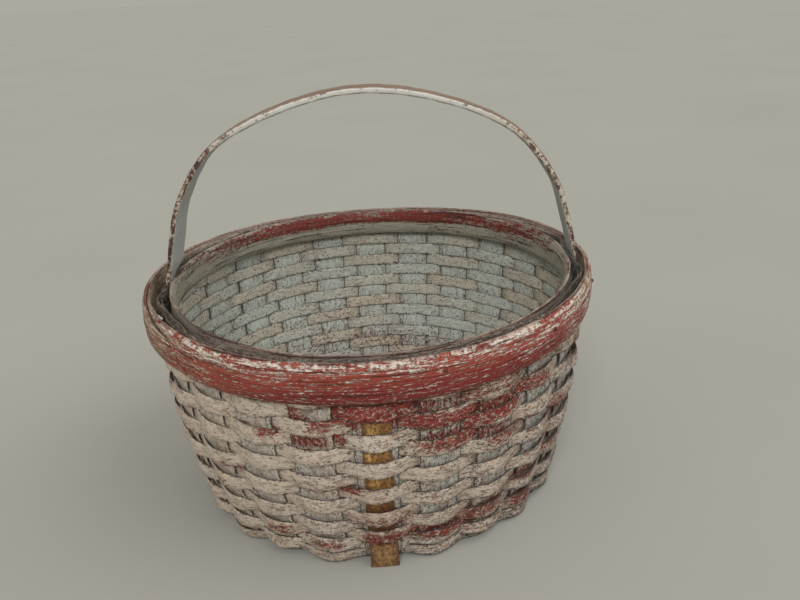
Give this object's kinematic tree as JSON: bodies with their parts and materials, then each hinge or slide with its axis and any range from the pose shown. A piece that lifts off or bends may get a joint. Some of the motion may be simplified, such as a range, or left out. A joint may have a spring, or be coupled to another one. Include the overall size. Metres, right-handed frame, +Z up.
{
  "type": "splint basket",
  "caption": "Round woven splint basket with a flared wall, bent-wood hoops inside and outside the mouth and a fixed bow handle.",
  "frame": {"origin": "middle of the basket, at the level that it stands on", "axes": "+Z up; the handle spans X; the front, with the bare splint, faces -Y"},
  "size_m": [0.3804, 0.38, 0.3421],
  "materials": {
    "stake_splint": "old pale blue-grey paint, worn through to the ash splint",
    "weaving_splint": "chipped whitish and blue-grey paint over barn red, worn through to the ash splint",
    "rim_wood": "worn barn-red paint in streaks over bare bent wood",
    "handle_wood": "worn whitish paint over red on bent wood, bare brown on top",
    "bare_splint": "unpainted aged splint, satin",
    "nail_iron": "dull rusty iron"
  },
  "bodies": {
    "root": {"base_weaver_1": "weaving_splint", "base_weaver_2": "weaving_splint", "base_weaver_3": "weaving_splint", "base_weaver_4": "weaving_splint", "base_weaver_5": "weaving_splint", "base_weaver_6": "weaving_splint", "base_weaver_7": "weaving_splint", "front_brace": "bare_splint", "handle": "handle_wood", "inner_rim": "rim_wood", "outer_rim": "rim_wood", "rim_nails": "nail_iron", "stake_01": "stake_splint", "stake_02": "stake_splint", "stake_03": "stake_splint", "stake_04": "stake_splint", "stake_05": "stake_splint", "stake_06": "stake_splint", "stake_07": "stake_splint", "stake_08": "stake_splint", "stake_09": "stake_splint", "stake_10": "stake_splint", "stake_11": "stake_splint", "stake_12": "stake_splint", "weaver_01": "weaving_splint", "weaver_02": "weaving_splint", "weaver_03": "weaving_splint", "weaver_04": "weaving_splint", "weaver_05": "weaving_splint", "weaver_06": "weaving_splint", "weaver_07": "weaving_splint", "weaver_08": "weaving_splint", "weaver_09": "weaving_splint", "weaver_10": "weaving_splint", "weaver_11": "weaving_splint", "weaver_12": "weaving_splint", "weaver_13": "weaving_splint", "weaver_14": "weaving_splint", "weaver_15": "weaving_splint"}
  },
  "joints": []
}
